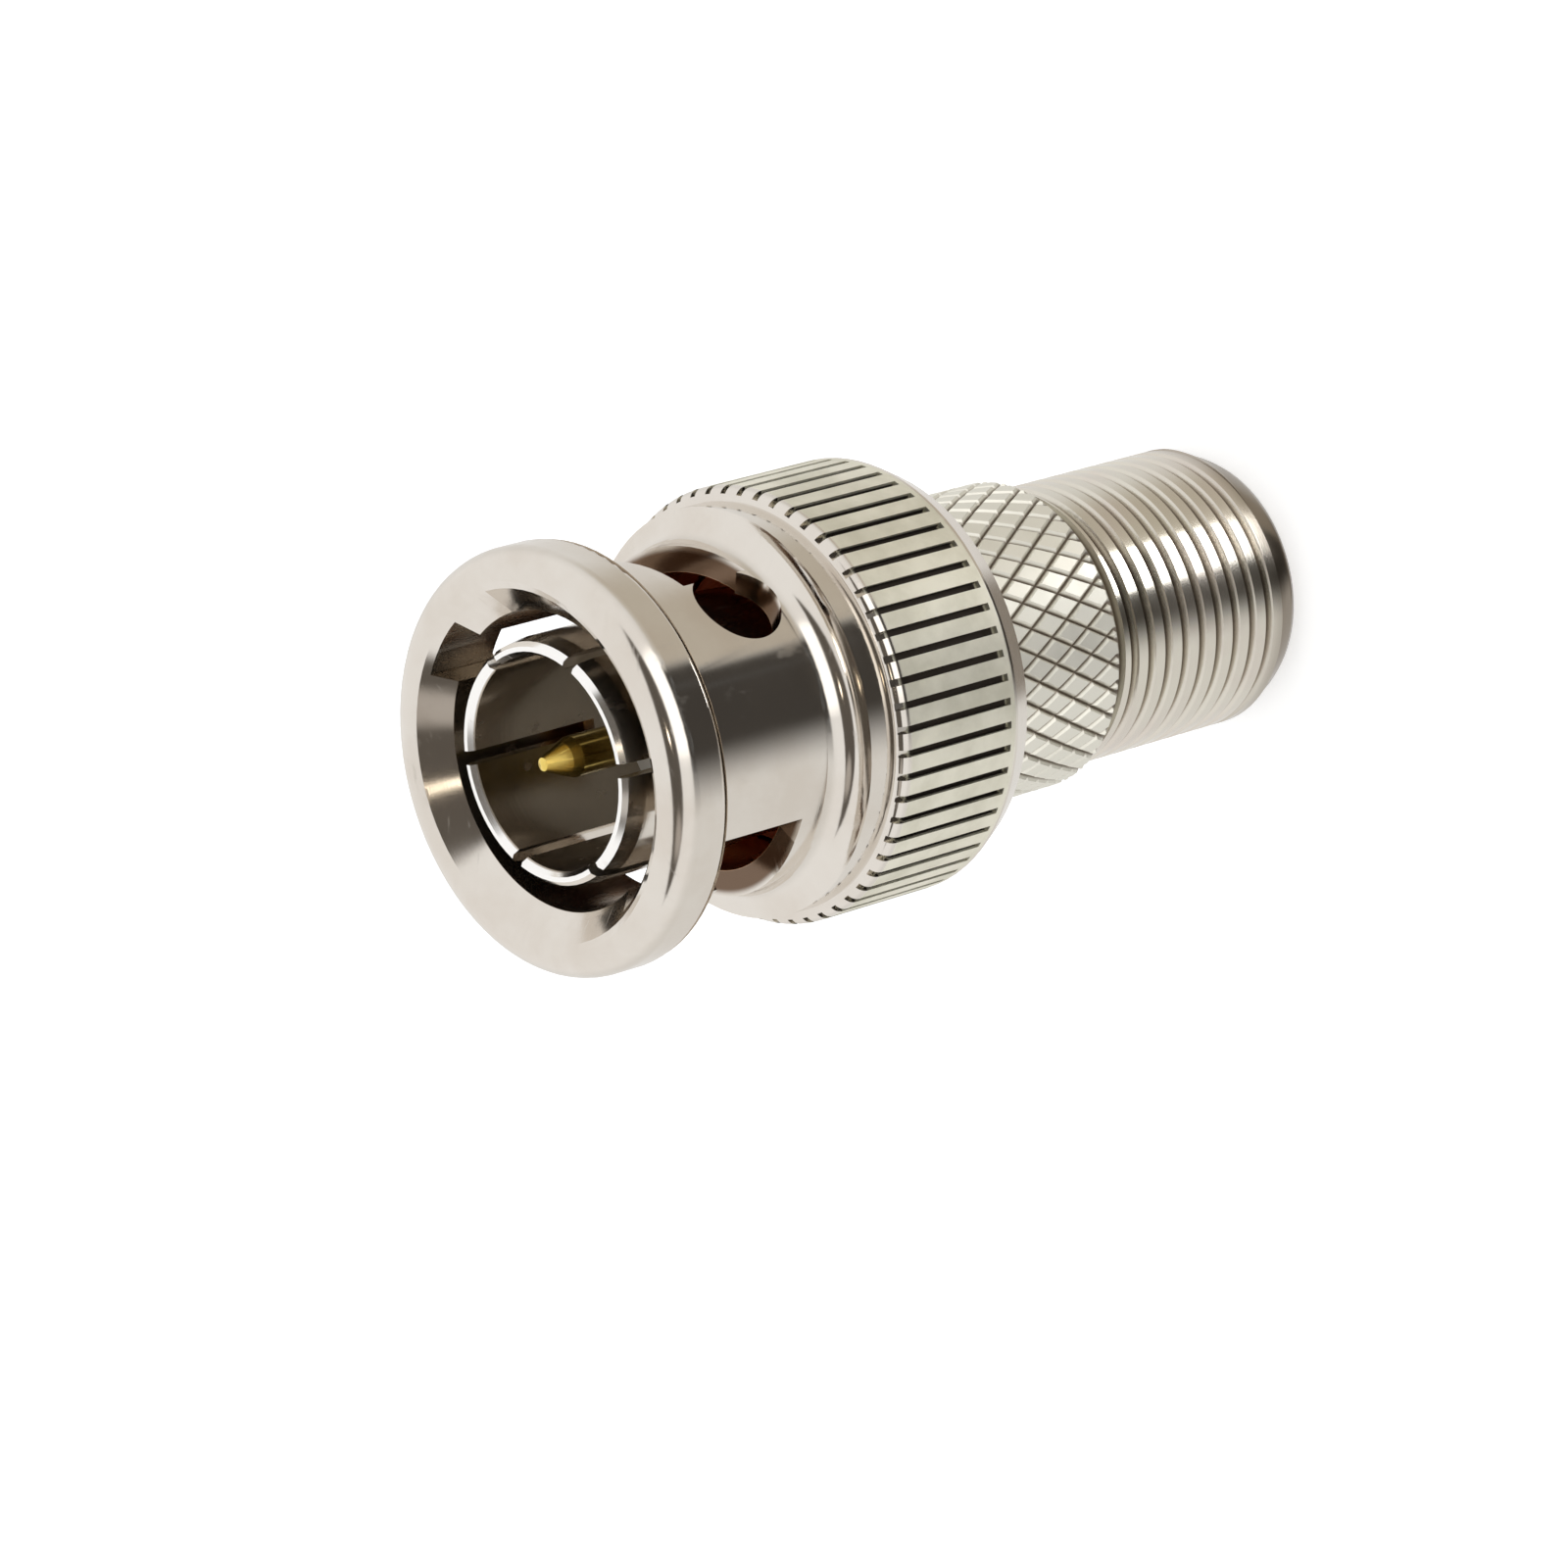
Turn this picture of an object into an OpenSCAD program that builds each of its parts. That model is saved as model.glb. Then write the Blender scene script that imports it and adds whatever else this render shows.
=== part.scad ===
// Coaxial adapter: bayonet-coupling plug to threaded jack.
// Millimetres. It stands on the jack's end; +Z runs along the axis to the plug's mouth.
// Most lengths are given as a distance behind the plug's face, which is at z = total_h.

/* [Main sizes] */
// overall height from jack end to plug face
total_h = 30.25; // [29.8:0.05:32]
// radius of the knurled grip on the coupling nut
grip_r = 7.25; // [7.15:0.05:7.6]
// radius of the bead round the mouth of the coupling nut
bead_r = 7.0; // [6.8:0.05:7.2]
// radius of the slotted neck of the coupling nut
neck_r = 5.75; // [5.7:0.05:5.9]
// length of the coupling nut
nut_len = 15.2; // [15.0:0.1:15.6]

/* [Bayonet] */
// bore radius of the coupling nut
nut_bore_r = 4.9; // [4.85:0.05:5.0]
// outer radius of the lug entry channels behind the face
channel_r = 5.55; // [5.5:0.05:5.6]
// angle taken up by one lug entry channel
channel_deg = 25; // [22:1:28]
// direction of the first lug entry channel
entry_deg = 35.5; // [0:0.5:90]
// how far a lug enters before it turns
entry_len = 6.65; // [6.5:0.05:6.8]
// quarter turn from the entry to the lug's rest
turn_deg = 90; // [88:0.5:92]
// radius of the round rest for the lug
rest_r = 1.5; // [1.35:0.05:1.55]
// width of the ramp that the lug runs in
ramp_w = 2.6; // [2.4:0.05:2.7]
// slope of the ramp at the neck
ramp_deg = 5.96; // [5:0.1:6.5]

/* [Grip] */
// number of grooves round the grip
groove_n = 58; // [40:1:64]
// depth of one groove
groove_d = 0.22; // [0.12:0.01:0.24]
// width of one groove
groove_w = 0.24; // [0.18:0.02:0.36]

/* [Contacts] */
// outside radius of the slotted outer contact
contact_r = 4.05; // [4.0:0.01:4.08]
// inside radius of the outer contact
contact_bore_r = 3.5; // [3.4:0.05:3.55]
// number of slots in the outer contact
finger_n = 6; // [4:2:8]
// width of the slots in the outer contact
finger_gap = 0.45; // [0.35:0.05:0.6]
// length of the slots in the outer contact
finger_len = 5.2; // [4.5:0.1:5.2]
// radius of the centre pin
pin_r = 0.675; // [0.66:0.005:0.69]

/* [Jack end] */
// major radius of the jack's thread
thread_r = 4.7625; // [4.7:0.0125:4.7625]
// length of the threaded barrel
thread_len = 9.05; // [8.6:0.05:9.3]
// radius of the collar
collar_r = 5.2; // [5.1:0.05:5.4]
// length of the collar
collar_len = 5.3; // [5.0:0.1:5.4]
// radius of the hole in the jack's face
jack_hole_r = 0.8; // [0.7:0.05:0.9]
// bore radius of the socket that grips the wire
socket_bore_r = 0.5; // [0.45:0.01:0.52]

/* [Hidden] */
$fn = 96;
e = 0.01;

// the coupling nut's outside, as distances behind the face
bead_len = 2.1;
shoulder_r = 6.78;
shoulder_at = 8.4;
grip_at = 9.25;
groove_end = 14.1;
rear_edge = 0.42;
rear_edge_len = 0.8;
mouth_cone = 0.85;
mouth_lip = 0.15;
rest_at = 6.15;
ramp_at = 5.8;
window_at = 2.9;
first_groove_deg = -87.7;

// the stack inside the nut: gasket, flange, spring washer, thrust washer, ring
flange_at = 11.2;
flange_t = 1.1;
flange_r = 6.05;
gasket_bore_r = 4.25;
gasket_t = 0.7;
spring_gap = 1.2;
spring_t = 0.25;
spring_r = 5.8;
washer_t = 0.4;
ring_t = 1.2;
ring_bore_r = 4.6;
counter_r = 6.2;
spring_at = flange_at + flange_t;
washer_at = spring_at + spring_gap;
ring_at = washer_at + washer_t;

// the outer contact and what it holds
contact_at = 0.5;
tail_r = 4.4;
tail_end = 19.6;
tail_bore_r = 2.6;
insulator_at = 7.0;
insulator_end = 18.2;
barb_at = 14;
first_finger_deg = 17;
pin_tip_at = 0.45;
pin_taper = 1.25;
pin_root_r = 0.9;
pin_barb_r = 1.15;
pin_spigot_r = 0.3;
pin_spigot_len = 2;

// the jack end, as heights above its face
jack_lip_r = 3.1;
jack_bore_r = 3.6;
disc_z = 0.5;
socket_z = 1.3;
socket_r = 0.95;
socket_top = 12;
socket_flange_r = 1.3;
socket_flange_z = 9.2;
jack_bore_top = total_h - tail_end;

module nickel() { color([0.72, 0.70, 0.66]) children(); }
module gold() { color([0.83, 0.66, 0.25]) children(); }
module white() { color([0.93, 0.93, 0.90]) children(); }

// solid of revolution from pairs [radius, distance behind the plug's face]
module turned(pts) {
    rotate_extrude() polygon([for (p = pts) [p[0], total_h - p[1]]]);
}

// solid of revolution from pairs [radius, height above the jack's end]
module turned_up(pts) {
    rotate_extrude() polygon(pts);
}

// ring between two radii, from z up
module ring(r_in, r_out, z, h) {
    translate([0, 0, z]) difference() {
        cylinder(r = r_out, h = h);
        translate([0, 0, -1]) cylinder(r = r_in, h = h + 2);
    }
}

// what must go to round a convex corner at [r, s] to radius q; dr and ds point inwards
module corner(r, s, q, dr, ds) {
    difference() {
        translate([r + (dr < 0 ? -q : -e), total_h - s + (ds > 0 ? -q : -e)]) square(q + e);
        translate([r + dr * q, total_h - s - ds * q]) circle(q);
    }
}

// half section of the coupling nut: bead, neck, shoulder and grip
module nut_section() {
    fillet = shoulder_r - 0.1 - neck_r;
    outline = [
        [nut_bore_r, mouth_lip + mouth_cone], [nut_bore_r + mouth_cone, mouth_lip],
        [nut_bore_r + mouth_cone + 0.25, 0], [bead_r, 0], [bead_r, bead_len], [neck_r + 0.3, bead_len + 0.18],
        [neck_r, bead_len + 0.5], [neck_r, shoulder_at - fillet],
        [neck_r + fillet, shoulder_at], [shoulder_r, shoulder_at],
        [shoulder_r, grip_at], [grip_r, grip_at], [grip_r, nut_len - rear_edge_len],
        [grip_r - rear_edge, nut_len], [counter_r, nut_len],
        [counter_r, flange_at], [nut_bore_r, flange_at]];
    difference() {
        polygon([for (p = outline) [p[0], total_h - p[1]]]);
        corner(bead_r, 0, 0.95, -1, 1);
        corner(bead_r, bead_len, 0.25, -1, -1);
        corner(grip_r, grip_at, 0.45, -1, 1);
        translate([neck_r + fillet, total_h - shoulder_at + fillet]) circle(fillet);
    }
}

// sector round the axis, from one direction to another, between two distances
module sector(r_in, r_out, from_deg, to_deg, s0, s1) {
    rotate([0, 0, from_deg])
        rotate_extrude(angle = to_deg - from_deg)
            translate([r_in, total_h - s1]) square([r_out - r_in, s1 - s0]);
}

// one lug track: entry channel, window over it, sloped ramp and round rest
module lug_track() {
    half = channel_deg / 2;
    inside = nut_bore_r - 0.6;
    outside = neck_r + 2;
    window_corner = 0.45;
    sector(inside, channel_r, -half, half, -1, entry_len);
    // the window's one front corner is rounded; the arc crosses the edges, and isn't tangent
    difference() {
        sector(inside, outside, -half, half, window_at, entry_len);
        translate([0, neck_r * sin(half) - window_corner, total_h - window_at - window_corner])
            rotate([0, 90, 0]) linear_extrude(9) difference() {
                translate([-window_corner - 1, 0]) square(window_corner + 1);
                circle(window_corner + 0.03);
            }
    }
    // a slab tilted about the ramp's middle follows the helix closely
    intersection() {
        sector(inside, outside, 12 - turn_deg, 3, 2, 9);
        rotate([0, 0, -turn_deg / 2])
            translate([0, 0, total_h - ramp_at]) rotate([ramp_deg, 0, 0])
                cube([18, 18, ramp_w], center = true);
    }
    rotate([0, 0, -turn_deg]) translate([0, 0, total_h - rest_at])
        rotate([0, 90, 0]) translate([0, 0, inside]) cylinder(r = rest_r, h = 4);
}

// straight grooves that run out on the grip's rounded front edge
module grip_grooves() {
    translate([0, 0, total_h - groove_end]) linear_extrude(groove_end - grip_at + 0.5)
        for (i = [0 : groove_n - 1])
            rotate(first_groove_deg + 360 / groove_n * i)
                translate([grip_r, 0]) square([2 * groove_d, groove_w], center = true);
}

module coupling_nut() nickel() {
    difference() {
        rotate_extrude() nut_section();
        for (half_turn = [0, 180]) rotate([0, 0, entry_deg + half_turn]) lug_track();
        grip_grooves();
    }
}

module retaining_ring() nickel() {
    turned([
        [ring_bore_r, ring_at], [counter_r, ring_at], [counter_r, ring_at + ring_t],
        [ring_bore_r + 0.15, ring_at + ring_t], [ring_bore_r, ring_at + ring_t - 0.15]]);
}

module thrust_washer() nickel() {
    ring(ring_bore_r, flange_r, total_h - ring_at, washer_t);
}

// washer bowed once, cut from a tube that lies across the axis
module spring_washer() color([0.62, 0.60, 0.57]) {
    rise = spring_gap - spring_t;
    bow_r = (spring_r * spring_r + rise * rise) / (2 * rise);
    intersection() {
        ring(ring_bore_r, spring_r, total_h - washer_at - 1, spring_gap + 2);
        translate([0, 0, total_h - spring_at - bow_r]) rotate([90, 0, 0]) difference() {
            cylinder(r = bow_r, h = 14, center = true, $fn = 180);
            cylinder(r = bow_r - spring_t, h = 16, center = true, $fn = 180);
        }
    }
}

// slotted tube, flange and tail, turned in one piece
module outer_contact() nickel() {
    seat_at = flange_at - gasket_t;
    difference() {
        turned([
            [contact_bore_r + 0.15, contact_at], [contact_r - 0.24, contact_at],
            [contact_r - 0.1, contact_at + 0.15], [contact_r, contact_at + 0.8],
            [contact_r, seat_at], [gasket_bore_r, seat_at], [gasket_bore_r, flange_at],
            [flange_r, flange_at], [flange_r, spring_at],
            [tail_r, spring_at], [tail_r, tail_end - 0.2], [tail_r - 0.2, tail_end],
            [tail_bore_r, tail_end], [tail_bore_r, insulator_end],
            [contact_bore_r, insulator_end], [contact_bore_r, contact_at + 0.2]]);
        for (i = [0 : finger_n - 1])
            rotate([0, 0, first_finger_deg + 360 / finger_n * i])
                translate([contact_bore_r - 1, -finger_gap / 2,
                           total_h - contact_at - finger_len])
                    cube([2.2, finger_gap, finger_len + 1]);
    }
}

module jack_body() nickel() {
    collar_top = thread_len + collar_len;
    turned_up([
        [jack_lip_r, 0], [thread_r - 0.75, 0], [thread_r - 0.25, 0.3], [thread_r, 0.8],
        [thread_r, thread_len], [collar_r - 0.15, thread_len],
        [collar_r, thread_len + 0.15], [collar_r, collar_top - 0.2],
        [collar_r - 0.2, collar_top], [tail_r, collar_top], [tail_r, jack_bore_top],
        [jack_bore_r, jack_bore_top], [jack_bore_r, disc_z], [jack_lip_r, disc_z]]);
}

// ring that the jack's rim is pressed on, hollowed in front
module sealing_gasket() color([0.55, 0.16, 0.10]) {
    width = 0.55;
    rotate_extrude() difference() {
        translate([gasket_bore_r, total_h - flange_at]) square([width, gasket_t]);
        translate([gasket_bore_r + width / 2, total_h - flange_at + gasket_t + 0.2])
            circle(0.3);
    }
}

module front_insulator() white() {
    turned([
        [pin_root_r, insulator_at], [contact_bore_r, insulator_at],
        [contact_bore_r, insulator_end], [pin_barb_r, insulator_end],
        [pin_barb_r, barb_at], [pin_root_r, barb_at]]);
}

module centre_pin() gold() {
    turned([
        [0, pin_tip_at], [0.22, pin_tip_at + 0.08], [pin_r - 0.12, pin_tip_at + pin_taper - 0.35],
        [pin_r, pin_tip_at + pin_taper], [pin_r, insulator_at],
        [pin_root_r, insulator_at], [pin_root_r, barb_at], [pin_barb_r, barb_at],
        [pin_barb_r, barb_at + 1.6], [pin_root_r, barb_at + 2.2],
        [pin_root_r, insulator_end], [pin_spigot_r, insulator_end],
        [pin_spigot_r, insulator_end + pin_spigot_len], [0, insulator_end + pin_spigot_len]]);
}

// four-leaf socket that takes the cable's wire
module socket_contact() gold() {
    bore_len = 6.7;
    leaf_gap = 0.14;
    leaf_len = 3;
    difference() {
        union() {
            translate([0, 0, socket_z]) cylinder(r = socket_r, h = socket_top - socket_z);
            translate([0, 0, socket_flange_z]) cylinder(r = socket_flange_r, h = 0.8);
        }
        translate([0, 0, socket_z - 1]) cylinder(r = socket_bore_r, h = bore_len + 1);
        translate([0, 0, socket_top - 2]) cylinder(r = pin_spigot_r, h = 3);
        for (a = [45, 135])
            rotate([0, 0, a])
                translate([-2, -leaf_gap / 2, socket_z - 1]) cube([4, leaf_gap, leaf_len + 1]);
    }
}

// sleeve round the socket, with a moulded hollow near its inner end
module rear_insulator() white() {
    hollow_z = 5.5;
    difference() {
        ring(socket_r, jack_bore_r, socket_z, jack_bore_top - socket_z);
        translate([0, 0, socket_flange_z]) cylinder(r = socket_flange_r, h = 3);
        ring(1.75, 3.05, hollow_z, 6);
    }
}

// disc with the funnel that guides the wire in
module entry_disc() white() {
    turned_up([
        [jack_hole_r, socket_z], [jack_bore_r, socket_z], [jack_bore_r, disc_z],
        [jack_lip_r, disc_z], [jack_lip_r, 0.15], [jack_hole_r + 0.5, 0.15],
        [jack_hole_r, 0.75]]);
}

coupling_nut();
retaining_ring();
thrust_washer();
spring_washer();
outer_contact();
jack_body();
sealing_gasket();
front_insulator();
centre_pin();
socket_contact();
rear_insulator();
entry_disc();
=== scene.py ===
import math
import bmesh
import bpy
from mathutils import Matrix, Vector


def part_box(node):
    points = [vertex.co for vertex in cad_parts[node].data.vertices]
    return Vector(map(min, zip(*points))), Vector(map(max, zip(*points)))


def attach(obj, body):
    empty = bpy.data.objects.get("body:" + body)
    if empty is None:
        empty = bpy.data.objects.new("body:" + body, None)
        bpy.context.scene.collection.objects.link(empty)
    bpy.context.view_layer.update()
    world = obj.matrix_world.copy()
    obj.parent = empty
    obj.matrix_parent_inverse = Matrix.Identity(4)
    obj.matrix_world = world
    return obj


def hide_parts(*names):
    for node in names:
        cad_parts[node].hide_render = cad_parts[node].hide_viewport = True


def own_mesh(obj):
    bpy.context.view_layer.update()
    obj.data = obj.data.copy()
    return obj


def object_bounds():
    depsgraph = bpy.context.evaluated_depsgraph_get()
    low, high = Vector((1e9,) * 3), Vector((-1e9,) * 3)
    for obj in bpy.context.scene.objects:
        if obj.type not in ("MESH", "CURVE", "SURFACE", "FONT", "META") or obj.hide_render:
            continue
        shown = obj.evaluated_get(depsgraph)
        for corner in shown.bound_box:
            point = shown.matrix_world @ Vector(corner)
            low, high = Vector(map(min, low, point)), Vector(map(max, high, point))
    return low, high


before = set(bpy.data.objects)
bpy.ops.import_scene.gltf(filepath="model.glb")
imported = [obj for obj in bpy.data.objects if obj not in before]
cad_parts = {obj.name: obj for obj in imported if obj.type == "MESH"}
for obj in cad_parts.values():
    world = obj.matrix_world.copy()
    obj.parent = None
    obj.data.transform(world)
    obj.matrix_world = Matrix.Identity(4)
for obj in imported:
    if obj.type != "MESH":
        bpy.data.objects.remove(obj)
cad_low, cad_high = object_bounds()
MM = 0.001

# ------------------------------------------------------------------ camera

CAMERA_AT = (0.0, -0.19328, 0.18236)
CAMERA_LOOKS_AT = (-0.002688, 0.0, 0.020365)
CAMERA_ROLL = 106.0
CAMERA_LENS = 179.05
SENSOR_WIDTH = 36
CLIP_NEAR, CLIP_FAR = 0.01, 5


def place_camera():
    """A long lens from above the mouth, rolled so that the plug points left and down."""
    data = bpy.data.cameras.new("camera")
    data.lens = CAMERA_LENS
    data.sensor_width = SENSOR_WIDTH
    data.clip_start = CLIP_NEAR
    data.clip_end = CLIP_FAR
    camera = bpy.data.objects.new("camera", data)
    bpy.context.scene.collection.objects.link(camera)
    along = Vector(CAMERA_LOOKS_AT) - Vector(CAMERA_AT)
    upright = along.to_track_quat("-Z", "Y").to_matrix().to_4x4()
    roll = Matrix.Rotation(math.radians(-CAMERA_ROLL), 4, "Z")
    camera.matrix_world = Matrix.Translation(CAMERA_AT) @ upright @ roll
    bpy.context.scene.camera = camera


# ------------------------------------------------------------- node helpers

def add(tree, kind, **values):
    """One shader node, with its inputs given by name."""
    node = tree.nodes.new(kind)
    for name, value in values.items():
        node.inputs[name].default_value = value
    return node


def link(tree, source, target):
    tree.links.new(source, target)


def math_node(tree, operation, *values):
    """One sum on sockets and numbers."""
    node = add(tree, "ShaderNodeMath")
    node.operation = operation
    for socket, value in zip(node.inputs, values):
        if isinstance(value, (int, float)):
            socket.default_value = value
        else:
            link(tree, value, socket)
    return node.outputs[0]


def times(tree, first, second):
    return math_node(tree, "MULTIPLY", first, second)


def less(tree, value):
    """What is left of 1."""
    return math_node(tree, "SUBTRACT", 1.0, value)


def rising(tree, value, low, high):
    """0 below low, 1 above high, with soft ends."""
    node = add(tree, "ShaderNodeMapRange")
    node.interpolation_type = "SMOOTHSTEP"
    link(tree, value, node.inputs["Value"])
    node.inputs["From Min"].default_value = low
    node.inputs["From Max"].default_value = high
    return node.outputs["Result"]


def falling(tree, value, low, high):
    """1 below low, 0 above high."""
    return less(tree, rising(tree, value, low, high))


def between(tree, value, low, rise, fall, high):
    """0 outside low..high, 1 between rise and fall."""
    return times(tree, rising(tree, value, low, rise), falling(tree, value, fall, high))


def blend(tree, factor, first, second):
    """Mixes two colours; each may be a socket or an RGB tuple."""
    node = add(tree, "ShaderNodeMix")
    node.data_type = "RGBA"
    node.clamp_factor = True
    link(tree, factor, node.inputs["Factor"])
    for name, value in (("A", first), ("B", second)):
        socket = [s for s in node.inputs if s.name == name and s.type == "RGBA"][0]
        if isinstance(value, tuple):
            socket.default_value = (*value, 1.0)
        else:
            link(tree, value, socket)
    return [s for s in node.outputs if s.type == "RGBA"][0]


def mix_shaders(tree, factor, first, second):
    """The first shader where the factor is 0, the second where it is 1."""
    mix = add(tree, "ShaderNodeMixShader")
    for source, target in zip((factor, first.outputs[0], second.outputs[0]), mix.inputs):
        link(tree, source, target)
    return mix


# ------------------------------------------------------------ studio, floor

# What polished metal sees. SIDES are angles round the upright axis in radians, from the
# camera's side to the right; HEIGHTS are sines of the angle above the part's level. Four
# numbers say where a thing fades in, is whole, starts to fade and is gone; two numbers are
# one such edge. AT is the direction of a thing's middle and EDGE the cosines of its edge.
BENCH_SIDES = (0.5, 0.62, 1.4, 2.1)
BENCH_TOP = (-0.55, -0.25)
DARK_SIDES = (-0.85, -0.25, 0.5, 0.62)
DARK_TOP = (-0.34, -0.16)
BOX_SIDES = (-0.35, -0.15, 0.62, 0.72)
BOX_HEIGHTS = (-0.30, -0.20, 0.44, 0.52)
ROOM_AT, ROOM_EDGE = (-0.3, -0.9, -0.2), (0.05, 0.15)
ROOM_FOOT = (0.46, 0.56)
WINDOW_AT, WINDOW_EDGE = (-0.653, -0.365, 0.664), (0.975, 0.998)
LAMP_AT, LAMP_EDGE = (-0.05, -0.642, 0.766), (0.9982, 0.9992)
SHADE_TOP = (-0.975, -0.955)
WALL_HEIGHTS = (-0.5, 0.1)
CLOUD_SIZE, CLOUD_DETAIL, CLOUD_CURL = 3.5, 3.0, 1.2
CLOUD_EDGE = (0.5, 0.68)

WALL_LOW, WALL_HIGH = (0.84, 0.83, 0.81), (0.98, 0.97, 0.96)
BENCH = (0.58, 0.53, 0.45)
ROOM = (0.12, 0.105, 0.09)
WINDOW = (0.5, 0.46, 0.42)
LAMP = (4.0, 3.5, 2.8)
DARK, CLOUD = (0.06, 0.054, 0.048), (0.15, 0.152, 0.155)
SHADE = (0.30, 0.27, 0.235)
BOX = (1.7, 1.68, 1.64)
WHITE = (1, 1, 1, 1)

BARREL_LAMP_AT = (9.5, -22.8, -12)
BARREL_LAMP_AIM = (1.0, -4.65, 4.7)
BARREL_LAMP_SIZE = (13, 6)
BARREL_LAMP_POWER = 0.0016

FLOOR_HALF = 1.5
FLOOR_TINT = (0.84, 0.86, 0.88, 1)
FLOOR_GLOW = 0.55


def facing(tree, direction, towards):
    """How far a direction points towards a given one, from -1 to 1."""
    node = add(tree, "ShaderNodeVectorMath")
    node.operation = "DOT_PRODUCT"
    link(tree, direction, node.inputs[0])
    node.inputs[1].default_value = Vector(towards).normalized()
    return node.outputs["Value"]


def studio_light():
    """A pale room with one dark side, a bench, a soft box and a far, dim end with a lamp."""
    world = bpy.data.worlds.new("studio")
    bpy.context.scene.world = world
    world.use_nodes = True
    tree = world.node_tree
    tree.nodes.clear()
    around = add(tree, "ShaderNodeTexCoord").outputs["Generated"]
    sides = add(tree, "ShaderNodeSeparateXYZ")
    link(tree, around, sides.inputs[0])
    x, y, z = sides.outputs
    turn = math_node(tree, "ARCTAN2", x, times(tree, y, -1.0))
    # warmer and dimmer low down on the right, where the bench is
    bench = times(tree, between(tree, turn, *BENCH_SIDES), falling(tree, z, *BENCH_TOP))
    # the dark side: low and in front, fading to the left, with something pale in it
    dark = times(tree, between(tree, turn, *DARK_SIDES), falling(tree, z, *DARK_TOP))
    haze = add(tree, "ShaderNodeTexNoise", Scale=CLOUD_SIZE, Detail=CLOUD_DETAIL,
               Distortion=CLOUD_CURL)
    link(tree, around, haze.inputs["Vector"])
    clouds = rising(tree, haze.outputs[0], *CLOUD_EDGE)
    # the room behind the camera, seen in the mouth's cone, with a dim window and a lamp
    room = times(tree, rising(tree, z, *ROOM_FOOT),
                 rising(tree, facing(tree, around, ROOM_AT), *ROOM_EDGE))
    window = rising(tree, facing(tree, around, WINDOW_AT), *WINDOW_EDGE)
    lamp = rising(tree, facing(tree, around, LAMP_AT), *LAMP_EDGE)
    # the soft box that whitens each rounded front edge
    box = times(tree, between(tree, turn, *BOX_SIDES), between(tree, z, *BOX_HEIGHTS))
    # straight below, where the part stands in its own shade
    under = falling(tree, z, *SHADE_TOP)
    seen = blend(tree, rising(tree, z, *WALL_HEIGHTS), WALL_LOW, WALL_HIGH)
    for where, colour in ((bench, BENCH), (room, ROOM), (window, WINDOW), (lamp, LAMP),
                          (dark, blend(tree, clouds, DARK, CLOUD)), (under, SHADE), (box, BOX)):
        seen = blend(tree, where, seen, colour)
    glow = add(tree, "ShaderNodeBackground", Strength=1.0)
    link(tree, seen, glow.inputs["Color"])
    paper = add(tree, "ShaderNodeBackground", Color=WHITE, Strength=1.0)
    ray = add(tree, "ShaderNodeLightPath")
    mix = mix_shaders(tree, ray.outputs["Is Camera Ray"], glow, paper)
    link(tree, mix.outputs[0], add(tree, "ShaderNodeOutputWorld").inputs[0])


def barrel_lamp():
    """A small soft box below the bench's edge, for the bright band along the barrel."""
    data = bpy.data.lights.new("barrel_lamp", "AREA")
    data.shape = "RECTANGLE"
    data.size, data.size_y = (side * MM for side in BARREL_LAMP_SIZE)
    data.energy = BARREL_LAMP_POWER
    lamp = bpy.data.objects.new("barrel_lamp", data)
    bpy.context.scene.collection.objects.link(lamp)
    at = Vector(BARREL_LAMP_AT) * MM
    turn = (Vector(BARREL_LAMP_AIM) * MM - at).to_track_quat("-Z", "Y")
    lamp.matrix_world = Matrix.Translation(at) @ turn.to_matrix().to_4x4()
    lamp.visible_camera = False


def pale_floor():
    """A wide pale sheet, clear from below. Polished metal shows the studio, not the sheet."""
    bm = bmesh.new()
    bmesh.ops.create_grid(bm, x_segments=1, y_segments=1, size=FLOOR_HALF)
    mesh = bpy.data.meshes.new("floor")
    bm.to_mesh(mesh)
    bm.free()
    floor = bpy.data.objects.new("floor", mesh)
    bpy.context.scene.collection.objects.link(floor)
    paper = bpy.data.materials.new("floor_paper")
    paper.use_nodes = True
    tree = paper.node_tree
    tree.nodes.clear()
    chalk = add(tree, "ShaderNodeBsdfDiffuse", Color=FLOOR_TINT, Roughness=0.0)
    lit = add(tree, "ShaderNodeEmission", Color=WHITE, Strength=FLOOR_GLOW)
    sheet = add(tree, "ShaderNodeAddShader")
    link(tree, chalk.outputs[0], sheet.inputs[0])
    link(tree, lit.outputs[0], sheet.inputs[1])
    clear = add(tree, "ShaderNodeBsdfTransparent")
    from_above = less(tree, add(tree, "ShaderNodeNewGeometry").outputs["Backfacing"])
    ray = add(tree, "ShaderNodeLightPath")
    mix = mix_shaders(
        tree, times(tree, ray.outputs["Is Camera Ray"], from_above), clear, sheet)
    link(tree, mix.outputs[0], add(tree, "ShaderNodeOutputMaterial").inputs[0])
    floor.data.materials.append(paper)


# ------------------------------------------------------------ shared effects

SMEAR_EDGE = (0.35, 0.7)
SCRATCH_EDGE = (0.62, 0.7)
SCRATCH_STRETCH = (900, 4200, 700)
SCRATCH_SLANT = (0.4, 0.7, 0.9)
FACE_SLANT = 0.83


def open_group(name, given, results):
    """A node group of numbers: inputs as a name with its usual value, outputs as names."""
    group = bpy.data.node_groups.new(name, "ShaderNodeTree")
    for label, usual in given.items():
        made = group.interface.new_socket(
            name=label, in_out="INPUT", socket_type="NodeSocketFloat")
        made.default_value = usual
    for label in results:
        group.interface.new_socket(name=label, in_out="OUTPUT", socket_type="NodeSocketFloat")
    return group, add(group, "NodeGroupInput"), add(group, "NodeGroupOutput")


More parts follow.
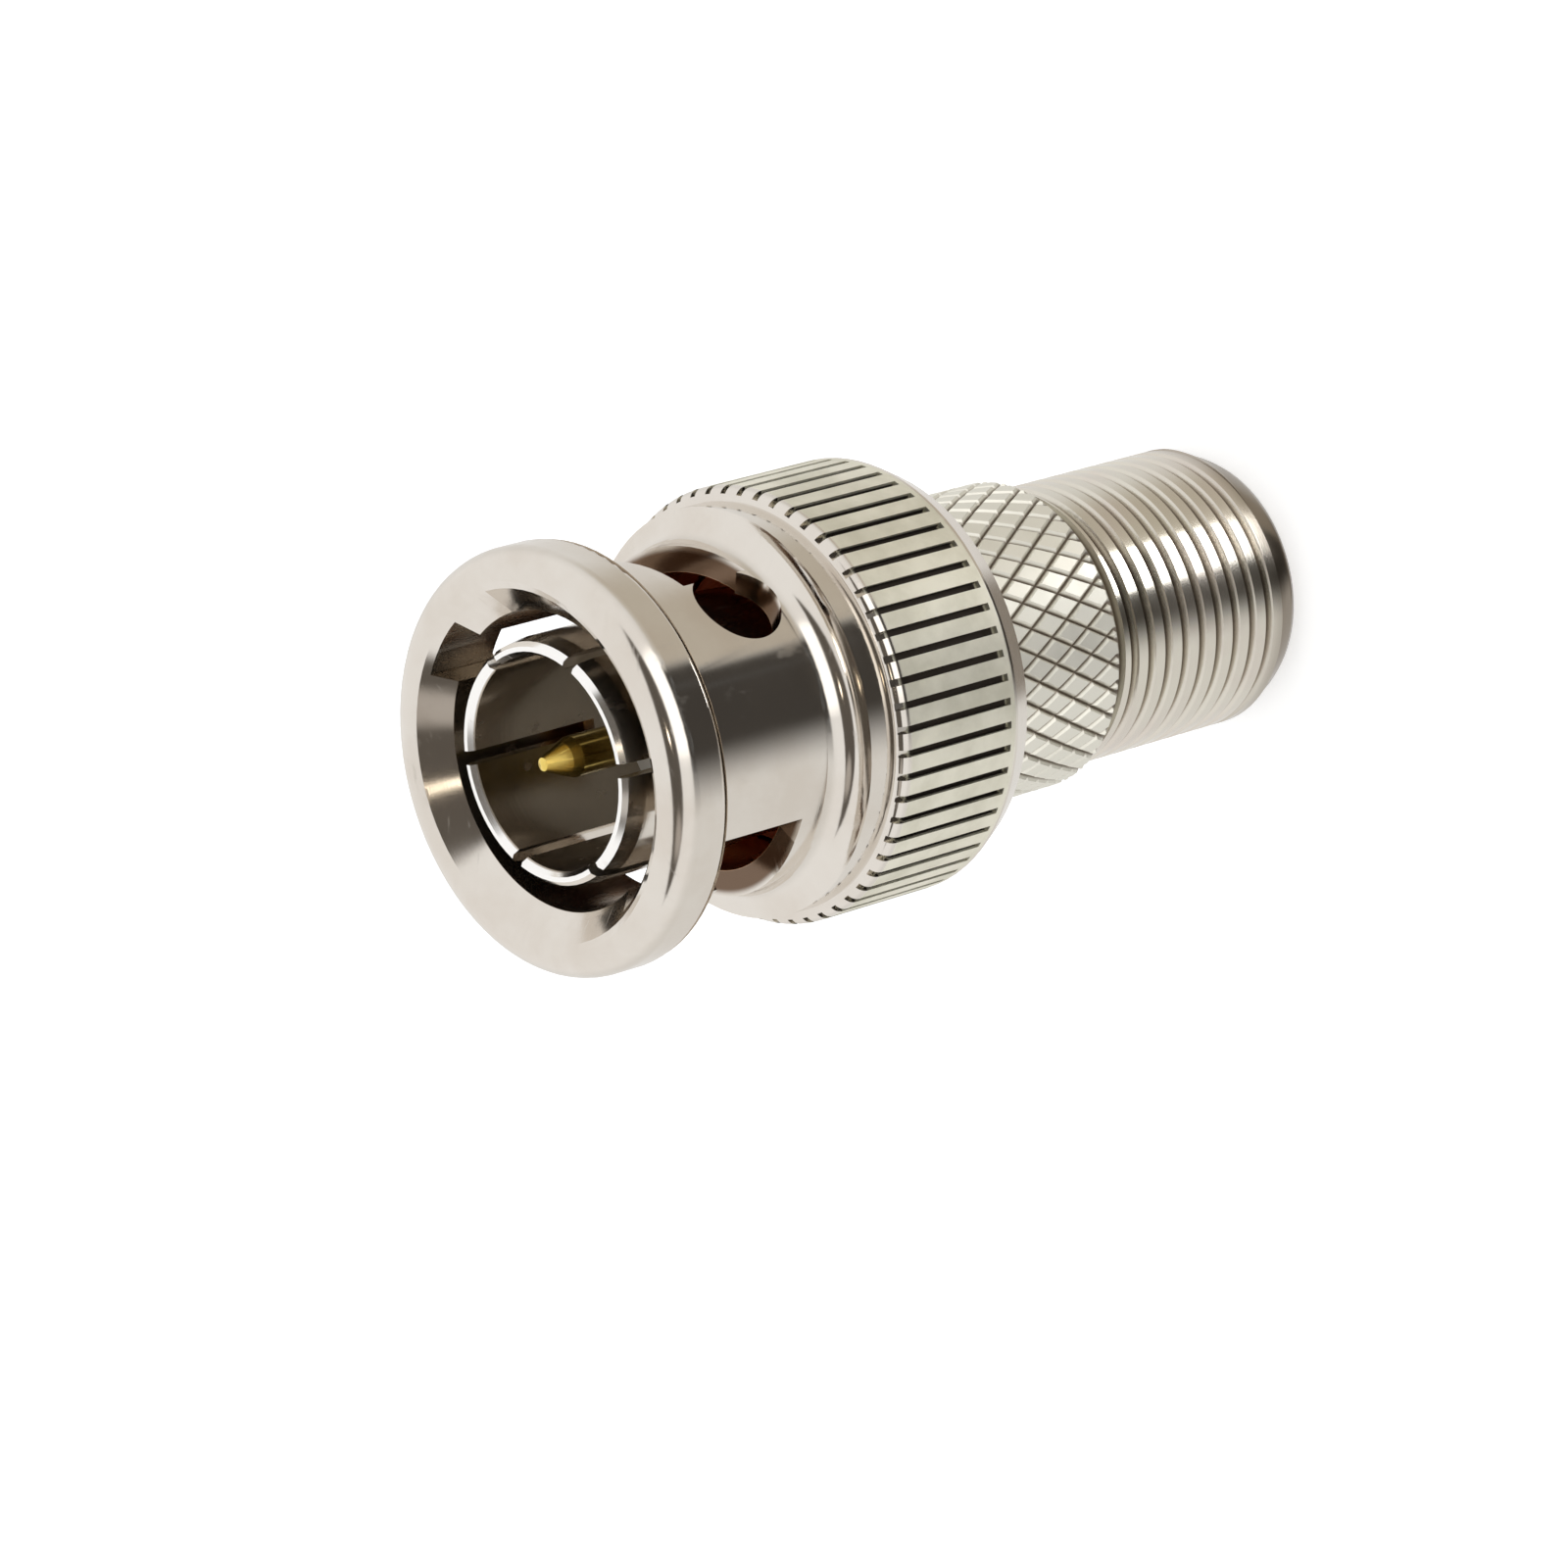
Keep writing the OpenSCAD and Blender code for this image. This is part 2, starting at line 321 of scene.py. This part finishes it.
def handling_marks():
    """Faint smears and fine scratches, each a mask from 0 to 1."""
    group, given, result = open_group(
        "handling_marks", {"Smear Scale": 260.0}, ("Smear", "Scratch"))
    place = add(group, "ShaderNodeTexCoord").outputs["Object"]
    smear = add(group, "ShaderNodeTexNoise", Detail=5.0, Roughness=0.6)
    link(group, place, smear.inputs["Vector"])
    link(group, given.outputs["Smear Scale"], smear.inputs["Scale"])
    link(group, rising(group, smear.outputs[0], *SMEAR_EDGE), result.inputs["Smear"])
    stretch = add(group, "ShaderNodeMapping", Scale=SCRATCH_STRETCH, Rotation=SCRATCH_SLANT)
    link(group, place, stretch.inputs["Vector"])
    grain = add(group, "ShaderNodeTexNoise", Scale=1.0, Detail=3.0, Roughness=0.5)
    link(group, stretch.outputs[0], grain.inputs["Vector"])
    link(group, rising(group, grain.outputs[0], *SCRATCH_EDGE), result.inputs["Scratch"])
    return group


def lathe_lines():
    """Fine rings left by turning, with the radius and height in mm that they run on."""
    group, given, result = open_group(
        "lathe_lines", {"Rings per mm": 9.0}, ("Height", "Radius", "Along"))
    split = add(group, "ShaderNodeSeparateXYZ")
    link(group, add(group, "ShaderNodeTexCoord").outputs["Object"], split.inputs[0])
    x, y, z = split.outputs
    radius = math_node(group, "SQRT", math_node(
        group, "ADD", times(group, x, x), times(group, y, y)))
    out_mm = times(group, radius, 1000.0)
    up_mm = times(group, z, 1000.0)
    # the slant carries the rings over flat faces too
    slant = math_node(group, "ADD", up_mm, times(group, out_mm, FACE_SLANT))
    lines = add(group, "ShaderNodeTexNoise", Scale=1.0, Detail=4.0, Roughness=0.7)
    lines.noise_dimensions = "1D"
    link(group, times(group, slant, given.outputs["Rings per mm"]), lines.inputs["W"])
    link(group, lines.outputs[0], result.inputs["Height"])
    link(group, out_mm, result.inputs["Radius"])
    link(group, up_mm, result.inputs["Along"])
    return group


def use_group(tree, group, **values):
    """A copy of a node group, with its inputs given by name."""
    node = add(tree, "ShaderNodeGroup")
    node.node_tree = group
    for name, value in values.items():
        node.inputs[name.replace("_", " ")].default_value = value
    return node


# ----------------------------------------- the jack's outside and the spring, in mm

# the 3/8-32 thread, 32 turns to the inch, between its chamfer and its relief
THREAD_R = 4.7625
THREAD_PITCH = 0.79375
THREAD_DEPTH = 0.3
THREAD_LAND = 0.42
THREAD_LOW, THREAD_HIGH = 0.95, 8.5
THREAD_STEPS = 144
FLANK_SHARE = 0.42
THREAD_MERGE = 0.002
# the knurled collar: diamonds round, their slant in degrees, and the grooves between
COLLAR_R = 5.2
SHOULDER = 9.05
KNURL_DEPTH = 0.16
KNURL_AROUND = 36
KNURL_SLANT = 29
KNURL_GROOVE = 0.11
KNURL_MERGE = 0.004
# its plain edges: gaps to the knurl, then steps in from its radius and from its ends
FOOT_GAP, HEAD_GAP = 0.22, 0.3
FOOT_IN, FOOT_UP = 0.17, 0.02
HEAD_IN, HEAD_DOWN, HEAD_FLAT_IN = 0.2, 0.05, 0.3
FOOT_R = 4.6
# where the jack is plain: its end as [radius, height], its relief, lip, bore and tail's seat
BARREL_END = ((4.45, 0.35), (4.30, 0.08), (4.15, 0))
RELIEF_R, RELIEF_LOW = 4.42, 8.62
TAIL_R = 4.4
TAIL_SEAT = 10.65
BORE_R = 3.6
LIP_R = 3.1
LIP_T = 0.5
# the spring washer's strip
SPRING_BORE_R = 4.6
SPRING_T = 0.25
SPRING_STEPS = 120

SHARP_ANGLE = 35.0
CUT_MERGE = 1e-7


def chain(bm, points):
    """A string of edges in the XZ plane, from pairs [radius, height] in mm."""
    verts = [bm.verts.new((r * MM, 0, z * MM)) for r, z in points]
    return verts + [bm.edges.new(pair) for pair in zip(verts, verts[1:])]


def only(kind, geom):
    """The vertices or the edges in a mixed list."""
    return [g for g in geom if isinstance(g, kind)]


def once(geom):
    """Each element once, in a fixed order, so that every run gives the same mesh."""
    return list(dict.fromkeys(geom))


def cut_square(bm, verts, low, high):
    """Cuts a shell off at two heights and gives the two loops of edges that are left."""
    loops = []
    for height, upward in ((low, False), (high, True)):
        live = [v for v in verts if v.is_valid]
        edges = once(e for v in live for e in v.link_edges)
        faces = once(f for v in live for f in v.link_faces)
        made = bmesh.ops.bisect_plane(
            bm, geom=[*live, *edges, *faces], dist=CUT_MERGE, plane_co=(0, 0, height * MM),
            plane_no=(0, 0, 1), clear_outer=upward, clear_inner=not upward)["geom_cut"]
        loops.append(only(bmesh.types.BMEdge, made))
        verts = once([*live, *only(bmesh.types.BMVert, made)])
    return loops


def draw_on(bm, loop, *places):
    """Carries a loop of edges on to round ones, given as pairs [radius, height] in mm."""
    for radius, height in places:
        loop = only(bmesh.types.BMEdge, bmesh.ops.extrude_edge_only(bm, edges=loop)["geom"])
        for vert in once(v for edge in loop for v in edge.verts):
            out = Vector((vert.co.x, vert.co.y, 0)).normalized() * radius * MM
            vert.co = (out.x, out.y, height * MM)
    return loop


def cut_thread(bm, crest, depth, pitch, land, low, high):
    """One tooth swept round once, repeated upwards, and cut square at both ends."""
    flank = (pitch - land) * FLANK_SHARE
    # it starts below and ends above, and what is over gets cut away
    foot = low - 1.5 * pitch
    tooth = chain(bm, [
        (crest, foot), (crest, foot + land), (crest - depth, foot + land + flank),
        (crest - depth, foot + pitch - flank), (crest, foot + pitch)])
    bmesh.ops.spin(bm, geom=tooth, cent=(0, 0, 0), axis=(0, 0, 1), steps=THREAD_STEPS,
                   dvec=(0, 0, pitch * MM / THREAD_STEPS), angle=math.tau, use_merge=False)
    turn = [*bm.verts, *bm.edges, *bm.faces]
    for count in range(1, math.ceil((high - low) / pitch) + 3):
        verts = only(bmesh.types.BMVert, bmesh.ops.duplicate(bm, geom=turn)["geom"])
        bmesh.ops.translate(bm, verts=verts, vec=(0, 0, count * pitch * MM))
    bmesh.ops.remove_doubles(bm, verts=bm.verts, dist=THREAD_MERGE * MM)
    return cut_square(bm, bm.verts[:], low, high)


def roll_knurl(bm, crest, depth, around, slant, low, high):
    """Raised diamonds between two sets of slanting grooves, wrapped round the axis."""
    root = crest - depth
    half = math.pi / around
    reach = root * math.tan(half) / math.tan(math.radians(slant))
    old = set(bm.verts)
    for row in range(math.ceil((high - low) / reach) + 2):
        middle = low + (row - 0.6) * reach
        turn = Matrix.Rotation(half * (row % 2), 3, "Z")
        places = [
            turn @ Matrix.Rotation(angle, 3, "Z") @ Vector((root * MM, 0, height * MM))
            for angle, height in ((half, middle), (0, middle + reach),
                                  (-half, middle), (0, middle - reach))]
        corners = [bm.verts.new(place) for place in places]
        diamond = bm.faces.new(corners)
        diamond.normal_update()
        if diamond.normal.dot(turn @ Vector((1, 0, 0))) < 0:
            diamond.normal_flip()
        bmesh.ops.inset_region(bm, faces=[diamond], thickness=KNURL_GROOVE * MM,
                               depth=depth * MM, use_boundary=True, use_even_offset=True)
        tile = once([diamond, *(f for v in corners for f in v.link_faces)])
        geom = [*tile, *once(e for f in tile for e in f.edges),
                *once(v for f in tile for v in f.verts)]
        bmesh.ops.spin(bm, geom=geom, cent=(0, 0, 0), axis=(0, 0, 1), steps=around,
                       angle=math.tau, use_duplicate=True)
    made = [v for v in bm.verts if v not in old]
    bmesh.ops.remove_doubles(bm, verts=made, dist=KNURL_MERGE * MM)
    return cut_square(bm, [v for v in bm.verts if v not in old], low, high)


def finish_mesh(bm, name, finish):
    """Points the faces outwards, keeps the sharp edges crisp and lays the finish on."""
    bmesh.ops.recalc_face_normals(bm, faces=bm.faces)
    mesh = bpy.data.meshes.new(name)
    bm.to_mesh(mesh)
    bm.free()
    mesh.shade_smooth()
    mesh.set_sharp_from_angle(angle=math.radians(SHARP_ANGLE))
    mesh.materials.append(finish)
    piece = bpy.data.objects.new(name, mesh)
    bpy.context.scene.collection.objects.link(piece)
    return piece


def jack_shell(finish):
    """Threaded barrel and knurled collar in one turned piece, bored through."""
    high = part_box("jack_body")[1]
    collar = high.x / MM
    top = high.z / MM
    bm = bmesh.new()
    barrel_end, barrel_top = cut_thread(
        bm, THREAD_R, THREAD_DEPTH, THREAD_PITCH, THREAD_LAND, THREAD_LOW, THREAD_HIGH)
    collar_foot, collar_top = roll_knurl(
        bm, collar, KNURL_DEPTH, KNURL_AROUND, KNURL_SLANT,
        SHOULDER + FOOT_GAP, top - HEAD_GAP)
    # round the barrel's end, then past the lip and up the bore to the seat
    inside = draw_on(bm, barrel_end, *BARREL_END, (LIP_R, 0), (LIP_R, LIP_T),
                     (BORE_R, LIP_T), (BORE_R, TAIL_SEAT), (TAIL_R, TAIL_SEAT))
    neck = draw_on(bm, barrel_top, (RELIEF_R, RELIEF_LOW), (RELIEF_R, SHOULDER))
    foot = draw_on(bm, collar_foot, (collar - FOOT_IN, SHOULDER + FOOT_UP), (FOOT_R, SHOULDER))
    head = draw_on(bm, collar_top, (collar - HEAD_IN, top - HEAD_DOWN),
                   (collar - HEAD_FLAT_IN, top), (TAIL_R, top))
    # the bridges follow the faces' winding, so it is set right first
    bmesh.ops.recalc_face_normals(bm, faces=bm.faces)
    bmesh.ops.bridge_loops(bm, edges=neck + foot)
    bmesh.ops.bridge_loops(bm, edges=inside + head)
    piece = finish_mesh(bm, "jack_shell", finish)
    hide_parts("jack_body")
    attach(piece, "body")


def bowed_spring(finish, bore, strip):
    """The spring washer, bent over a wide arc; here it stays bent, though the real one flattens
    as the nut is pushed home.
    """
    low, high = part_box("spring_washer")
    outer = high.y / MM
    rise = (high.z - low.z) / MM - strip
    bend = (outer * outer + rise * rise) / (2 * rise)
    bm = bmesh.new()
    section = chain(bm, [(bore, 0), (outer, 0), (outer, strip), (bore, strip), (bore, 0)])
    bmesh.ops.spin(bm, geom=section, cent=(0, 0, 0), axis=(0, 0, 1), steps=SPRING_STEPS,
                   angle=math.tau, use_merge=True)
    bmesh.ops.remove_doubles(bm, verts=bm.verts, dist=THREAD_MERGE * MM)
    for vert in bm.verts:
        drop = bend - math.sqrt(bend * bend - (vert.co.x / MM) ** 2)
        vert.co.z += high.z - (strip + drop) * MM
    piece = finish_mesh(bm, "spring_bow", finish)
    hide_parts("spring_washer")
    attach(piece, "body")
    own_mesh(piece)


# ----------------------------------------------------------------- materials

NICKEL = (0.76, 0.72, 0.665)
NICKEL_WARM = (0.70, 0.645, 0.58)
NICKEL_PALE = (0.82, 0.805, 0.73)
NICKEL_YELLOWED = (0.72, 0.69, 0.61)
# painted highlight for the fingers' ends
RIM_HIGHLIGHT = (0.98, 0.97, 0.95)
# painted shade for bores and entries
RECESS_SHADE = (0.44, 0.385, 0.32)
# painted shade for the slots' walls
SLOT_WALL_SHADE = (0.17, 0.11, 0.073)
BRASS_SHOWING = (0.60, 0.30, 0.13)
LAND_CLEAN = (0.87, 0.85, 0.74)
LAND_SOILED = (0.66, 0.64, 0.53)
GOLD = (0.90, 0.70, 0.20)
GOLD_SMEARED = (0.76, 0.54, 0.13)
# painted shade for the pin's shaft
PIN_SHAFT_SHADE = (0.42, 0.31, 0.09)
# painted shade for the grip's grooves
GROOVE_SHADE = (0.06, 0.05, 0.042)
# painted shade for thread roots and knurl valleys; it also darkens the far end
PALE_DARKENING = (0.30, 0.26, 0.215)
PLASTIC, PLASTIC_SHADED = (0.86, 0.85, 0.81), (0.78, 0.77, 0.72)
RUBBER, RUBBER_SHADED = (0.50, 0.10, 0.035), (0.34, 0.06, 0.022)

# how smears and scratches spoil a plate, and how fine its turning lines are
POLISHED = {"smears": 220.0, "dulling": 0.07, "scratching": 0.10, "rings": 9.0}
SATIN = {"smears": 340.0, "dulling": 0.10, "scratching": 0.0, "rings": 6.0}

# the blasted grain of the grip and the collar, how far the lands are soiled, and how much
# darker the far end is
GRAIN = {"Scale": 11000.0, "Detail": 3.0, "Roughness": 0.6}
GRAIN_HEIGHT = 1.6
LAND_SOIL, END_DARKENING = 0.8, 0.6

# bands of the nut: radii in mm, and distances in mm behind the mouth's face
LANDS_R, LANDS_BACK = (6.75, 6.85), (14.35, 14.25, 9.75, 9.65)
GROOVES_R, GROOVES_BACK = (6.88, 6.95, 7.13, 7.20), (14.12, 14.0, 9.85, 9.7)
ENTRIES_R, ENTRIES_BACK = (5.49, 5.53, 5.57, 5.61), (2.9, 2.85, 0.5, 0.45)
SLOTS_R, SLOTS_BACK = (4.89, 4.92, 5.5, 5.74), (8.2, 7.8, 3.4, 2.9)
NUT_BORE_R, BRASS_BACK = (4.903, 4.91), (5.5, 4.0)
# bands of the jack: radii, depths below a crest and heights, in mm
ROOTS_R, ROOTS_DEPTH = (3.7, 3.8), (0.22, 0.08)
VALLEYS_R, VALLEYS_DEPTH = (4.8, 4.9), (0.14, 0.06)
COLLAR_BACK, END_HEIGHT = (0.05, 0.0), (1.0, 1.9)
# bands of the outer contact and of the pin, behind their tips
CONTACT_BORE_R, RIM_BACK = (3.51, 3.55), (0.8, 0.4)
GOLD_BACK = (1.5, 0.7)


def new_material(name, colour, metallic, roughness):
    """A plain material with its nodes and shader, for more to be linked to."""
    made = bpy.data.materials.new(name)
    made.use_nodes = True
    shader = made.node_tree.nodes["Principled BSDF"]
    shader.inputs["Base Color"].default_value = (*colour, 1)
    shader.inputs["Metallic"].default_value = metallic
    shader.inputs["Roughness"].default_value = roughness
    return made, made.node_tree, shader


def raise_surface(tree, shader, height, distance, strength):
    """Fine relief, its height in metres."""
    bump = add(tree, "ShaderNodeBump", Strength=strength, Distance=distance)
    link(tree, height, bump.inputs["Height"])
    link(tree, bump.outputs[0], shader.inputs["Normal"])


def behind(face, distances):
    """Heights of the given distances behind a face."""
    return [face - distance for distance in distances]


class Plating:
    """A nickel finish while it is built up: colour and roughness, layer on layer."""

    def __init__(self, name, colour, roughness, marks, lathe, kind):
        self.made, self.tree, self.shader = new_material(name, colour, 1.0, roughness)
        self.marks = marks
        worn = self.smears(kind["smears"])
        turned = use_group(self.tree, lathe, Rings_per_mm=kind["rings"]).outputs
        self.lines, self.radius, self.along = (
            turned[name] for name in ("Height", "Radius", "Along"))
        self.tint = blend(self.tree, worn["Smear"], colour, NICKEL_WARM)
        self.rough = math_node(
            self.tree, "MULTIPLY_ADD", worn["Smear"], kind["dulling"], roughness)
        self.rough = math_node(
            self.tree, "MULTIPLY_ADD", worn["Scratch"], kind["scratching"], self.rough)

    def smears(self, scale):
        return use_group(self.tree, self.marks, Smear_Scale=scale).outputs

    def band(self, radii, heights):
        """1 inside a band of radii and heights, each with four edges in mm."""
        return times(self.tree, between(self.tree, self.radius, *radii),
                     between(self.tree, self.along, *heights))

    def layer(self, where, colour, dulling=0.0):
        """Another colour where the mask is, and the plate duller there."""
        self.tint = blend(self.tree, where, self.tint, colour)
        self.rough = math_node(self.tree, "MULTIPLY_ADD", where, dulling, self.rough)

    def blast(self, where):
        """Adds a fine blasted grain to the turning lines where the mask is."""
        place = add(self.tree, "ShaderNodeTexCoord").outputs["Object"]
        grain = add(self.tree, "ShaderNodeTexNoise", **GRAIN)
        link(self.tree, place, grain.inputs["Vector"])
        self.lines = math_node(self.tree, "ADD", self.lines, times(
            self.tree, times(self.tree, grain.outputs[0], where), GRAIN_HEIGHT))

    def finish(self, distance, strength):
        """Joins the layers to the shader, with the relief's height in metres."""
        link(self.tree, self.tint, self.shader.inputs["Base Color"])
        link(self.tree, self.rough, self.shader.inputs["Roughness"])
        raise_surface(self.tree, self.shader, self.lines, distance, strength)
        return self.made


def nut_nickel(marks, lathe, face):
    """Bright outside; duller, with painted shade, in the bore and tracks; satin on the grip,
    with painted shade in its grooves.
    """
    plate = Plating("nut_nickel", NICKEL, 0.09, marks, lathe, POLISHED)
    tree, radius, along = plate.tree, plate.radius, plate.along
    # the lands of the grip, and the painted shade in its grooves
    land = times(tree, rising(tree, radius, *LANDS_R),
                 between(tree, along, *behind(face, LANDS_BACK)))
    soiled = times(tree, plate.smears(scale=420.0)["Smear"], LAND_SOIL)
    plate.layer(land, blend(tree, soiled, LAND_CLEAN, LAND_SOILED), dulling=0.40)
    plate.layer(plate.band(GROOVES_R, behind(face, GROOVES_BACK)), GROOVE_SHADE, dulling=0.2)
    # painted shade in the bore and on the floors of the two entries; deep in, the brass shows
    bore = falling(tree, radius, *NUT_BORE_R)
    entry = plate.band(ENTRIES_R, behind(face, ENTRIES_BACK))
    deep = times(tree, bore, falling(tree, along, *behind(face, BRASS_BACK)))
    plate.layer(math_node(tree, "MAXIMUM", bore, entry), RECESS_SHADE, dulling=0.12)
    plate.layer(deep, BRASS_SHOWING)
    # painted shade on the walls of the two slots, from the bore outwards
    plate.layer(plate.band(SLOTS_R, behind(face, SLOTS_BACK)), SLOT_WALL_SHADE)
    plate.blast(land)
    return plate.finish(distance=0.000002, strength=0.35)


def satin_nickel(name, marks, lathe, roughness):
    """Duller plate, with finer smears and coarser turning lines."""
    plate = Plating(name, NICKEL, roughness, marks, lathe, SATIN)
    return plate.finish(distance=0.000004, strength=0.4)


def jack_nickel(marks, lathe, crest, collar, shoulder):
    """Satin barrel with painted shade in the thread's roots; a paler, duller collar with
    painted shade in its knurling.
    """
    plate = Plating("jack_nickel", NICKEL_YELLOWED, 0.16, marks, lathe, SATIN)
    tree, radius, along = plate.tree, plate.radius, plate.along
    above = rising(tree, along, *behind(shoulder, COLLAR_BACK))
    plate.layer(above, NICKEL_PALE, dulling=0.29)
    # painted shade in the thread's roots and the knurl's valleys
    root = times(tree, less(tree, above),
                 between(tree, radius, *ROOTS_R, *behind(crest, ROOTS_DEPTH)))
    valley = times(tree, above,
                   between(tree, radius, *VALLEYS_R, *behind(collar, VALLEYS_DEPTH)))
    plate.layer(math_node(tree, "MAXIMUM", root, valley), PALE_DARKENING)
    # the far end is a little darker
    plate.layer(times(tree, falling(tree, along, *END_HEIGHT), END_DARKENING), PALE_DARKENING)
    plate.blast(above)
    return plate.finish(distance=0.000003, strength=0.4)


def contact_nickel(marks, lathe, tip):
    """Painted highlight on the fingers' ends, painted shade in the bore."""
    plate = Plating("contact_nickel", NICKEL, 0.10, marks, lathe, POLISHED)
    # a painted highlight on the fingers' ends, then painted shade in the bore
    plate.layer(rising(plate.tree, plate.along, *behind(tip, RIM_BACK)), RIM_HIGHLIGHT)
    plate.layer(falling(plate.tree, plate.radius, *CONTACT_BORE_R), RECESS_SHADE, dulling=0.08)
    return plate.finish(distance=0.000002, strength=0.35)


def pin_gold(marks, lathe, tip):
    """Rich on the pin's tip, with painted shade further in."""
    made, tree, shader = new_material("pin_gold", GOLD, 1.0, 0.2)
    smear = use_group(tree, marks, Smear_Scale=600.0).outputs["Smear"]
    along = use_group(tree, lathe).outputs["Along"]
    # painted shade on the shaft behind the tip
    tint = blend(tree, rising(tree, along, *behind(tip, GOLD_BACK)), PIN_SHAFT_SHADE,
                 blend(tree, smear, GOLD, GOLD_SMEARED))
    link(tree, tint, shader.inputs["Base Color"])
    link(tree, math_node(tree, "MULTIPLY_ADD", smear, 0.12, 0.17), shader.inputs["Roughness"])
    return made


def moulded(name, marks, colour, shaded, roughness):
    """Plastic or rubber: mottled a little, with a fine dull skin."""
    made, tree, shader = new_material(name, colour, 0.0, roughness)
    smear = use_group(tree, marks, Smear_Scale=500.0).outputs["Smear"]
    link(tree, blend(tree, smear, colour, shaded), shader.inputs["Base Color"])
    skin = add(tree, "ShaderNodeTexNoise", Scale=9000.0, Detail=2.0)
    link(tree, add(tree, "ShaderNodeTexCoord").outputs["Object"], skin.inputs["Vector"])
    raise_surface(tree, shader, skin.outputs[0], 0.00001, 0.25)
    return made


def dress_nodes(finish):
    """Each CAD solid takes its finish in its own material slots."""
    for name, made in finish.items():
        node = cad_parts[name]
        node.data.materials.clear()
        node.data.materials.append(made)


place_camera()
studio_light()
pale_floor()
barrel_lamp()
marks, lathe = handling_marks(), lathe_lines()
bright = nut_nickel(marks, lathe, cad_high[2] / MM)
inner = contact_nickel(marks, lathe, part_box("outer_contact")[1].z / MM)
satin = satin_nickel("washer_nickel", marks, lathe, roughness=0.32)
spring = satin_nickel("spring_strip", marks, lathe, roughness=0.38)
jack = jack_nickel(marks, lathe, THREAD_R, COLLAR_R, SHOULDER)
gold = pin_gold(marks, lathe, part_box("centre_pin")[1].z / MM)
white = moulded("white_insulator", marks, PLASTIC, PLASTIC_SHADED, roughness=0.55)
rubber = moulded("red_silicone", marks, RUBBER, RUBBER_SHADED, roughness=0.5)
dress_nodes({
    "coupling_nut": bright, "retaining_ring": satin, "thrust_washer": satin,
    "spring_washer": spring, "outer_contact": inner, "jack_body": jack,
    "sealing_gasket": rubber, "front_insulator": white, "centre_pin": gold,
    "socket_contact": gold, "rear_insulator": white, "entry_disc": white})
jack_shell(jack)
bowed_spring(spring, SPRING_BORE_R, SPRING_T)
bpy.context.scene.view_settings.view_transform = "Standard"
